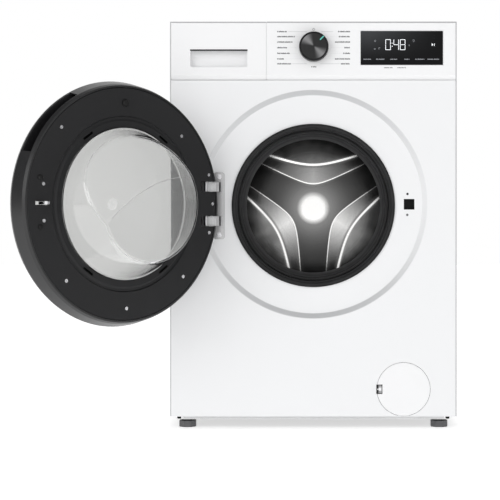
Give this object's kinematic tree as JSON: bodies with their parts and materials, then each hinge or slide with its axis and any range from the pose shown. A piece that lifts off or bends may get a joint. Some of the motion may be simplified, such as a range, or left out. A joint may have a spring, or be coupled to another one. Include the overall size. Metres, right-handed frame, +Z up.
{
  "type": "washing machine",
  "caption": "Front load washing machine with a round porthole door, rotating drum, detergent drawer, selector knob, pump filter door and levelling feet",
  "frame": {"origin": "Centre of the cabinet's footprint, on the floor between the four feet", "axes": "+Z up, -Y the way the porthole faces, +X to the right when looking at the front"},
  "size_m": [0.8534, 0.9946, 0.845],
  "materials": {
    "white_enamel": "gloss",
    "white_plastic": "satin",
    "zinc_sheet": "matte",
    "grey_plastic": "matte",
    "dark_plastic": "matte",
    "black_glass": "gloss",
    "tint_glass": "gloss",
    "clear_glass": "gloss",
    "board": "matte",
    "bright_steel": "brushed",
    "hinge_steel": "satin",
    "chromed": "polished",
    "cast_alloy": "cast",
    "concrete": "rough",
    "grey_rubber": "matte",
    "black_rubber": "matte",
    "knob_plastic": "brushed",
    "blue_plastic": "satin",
    "tray_plastic": "satin",
    "motor_paint": "satin"
  },
  "bodies": {
    "cabinet": {"side_left": "white_enamel", "side_right": "white_enamel", "rear_panel": "zinc_sheet", "front_panel": "white_enamel", "top_panel": "white_plastic", "base_tray": "dark_plastic", "plinth_strip": "grey_plastic", "corner_plugs": "black_rubber", "fascia": "white_plastic", "display_window": "black_glass", "display_board": "board", "drawer_housing": "grey_plastic", "inlet_valve": "grey_plastic", "control_board": "dark_plastic", "cable_gland": "dark_plastic", "door_lock": "dark_plastic", "hinge_bracket": "hinge_steel", "hinge_screws": "chromed", "hinge_pin": "hinge_steel", "gasket": "grey_rubber", "springs": "hinge_steel", "dampers": "motor_paint", "tub_front": "grey_plastic", "tub_rear": "grey_plastic", "weight_front": "concrete", "weight_top": "concrete", "heater": "hinge_steel", "bearings": "hinge_steel", "motor": "motor_paint", "belt": "black_rubber", "pump_body": "grey_plastic", "sump_hose": "black_rubber", "drain_hose": "black_rubber", "transit_caps": "grey_plastic"},
    "door": {"door_rim": "dark_plastic", "door_window": "tint_glass", "door_inner": "dark_plastic", "door_glass": "clear_glass", "door_screws": "chromed", "door_bumpers": "black_rubber", "hinge_leaf": "hinge_steel"},
    "latch_hook": {"door_hook": "chromed"},
    "drum": {"drum_shell": "bright_steel", "drum_front": "bright_steel", "drum_back": "bright_steel", "drum_lifters": "bright_steel", "drum_spider": "cast_alloy", "drum_pulley": "cast_alloy"},
    "rotor": {"motor_rotor": "cast_alloy"},
    "drawer": {"drawer_tray": "tray_plastic", "drawer_front": "white_plastic", "siphon_cap": "blue_plastic"},
    "selector": {"knob": "knob_plastic"},
    "flap": {"filter_flap": "white_plastic"},
    "filter": {"filter_cap": "blue_plastic"},
    "impeller": {"pump_impeller": "dark_plastic"},
    "front_left_foot": {"foot_fl": "dark_plastic"},
    "front_right_foot": {"foot_fr": "dark_plastic"},
    "rear_left_foot": {"foot_rl": "dark_plastic"},
    "rear_right_foot": {"foot_rr": "dark_plastic"}
  },
  "joints": [
    {"name": "door_hinge", "type": "hinge", "parent": "cabinet", "child": "door", "pos_m": [-0.22, -0.338, 0.4635], "axis": [0, 0, -1], "range_deg": [-136, 0]},
    {"name": "hook_pivot", "type": "hinge", "parent": "door", "child": "latch_hook", "pos_m": [-0.50207, -0.63541, 0.4635], "axis": [0, 0, 1], "range_deg": [-6, 3], "stiffness_Nm_per_rad": 0.4},
    {"name": "drum_spin", "type": "hinge", "parent": "cabinet", "child": "drum", "pos_m": [0, 0.2, 0.4635], "axis": [0, 1, 0], "continuous": true},
    {"name": "motor_spin", "type": "hinge", "parent": "cabinet", "child": "rotor", "pos_m": [0.096, 0.2, 0.122], "axis": [0, 1, 0], "continuous": true},
    {"name": "drawer_slide", "type": "slide", "parent": "cabinet", "child": "drawer", "axis": [0, -1, 0], "range_m": [0, 0.19]},
    {"name": "knob_turn", "type": "hinge", "parent": "cabinet", "child": "selector", "pos_m": [0.001, -0.3, 0.7915], "axis": [0, -1, 0], "continuous": true},
    {"name": "flap_hinge", "type": "hinge", "parent": "cabinet", "child": "flap", "pos_m": [0.2405, -0.3, 0.0825], "axis": [0, 0, 1], "range_deg": [0, 95]},
    {"name": "filter_screw", "type": "hinge", "parent": "cabinet", "child": "filter", "pos_m": [0.187, -0.25, 0.0825], "axis": [0, -1, 0], "range_deg": [0, 180]},
    {"name": "pump_spin", "type": "hinge", "parent": "cabinet", "child": "impeller", "pos_m": [0.187, -0.18, 0.0825], "axis": [0, 1, 0], "continuous": true},
    {"name": "front_left_height", "type": "slide", "parent": "cabinet", "child": "front_left_foot", "axis": [0, 0, -1], "range_m": [0, 0.012]},
    {"name": "front_right_height", "type": "slide", "parent": "cabinet", "child": "front_right_foot", "axis": [0, 0, -1], "range_m": [0, 0.012]},
    {"name": "rear_left_height", "type": "slide", "parent": "cabinet", "child": "rear_left_foot", "axis": [0, 0, -1], "range_m": [0, 0.012]},
    {"name": "rear_right_height", "type": "slide", "parent": "cabinet", "child": "rear_right_foot", "axis": [0, 0, -1], "range_m": [0, 0.012]}
  ],
  "couplings": [
    {"joint": "motor_spin", "follows": "drum_spin", "ratio": 12}
  ]
}
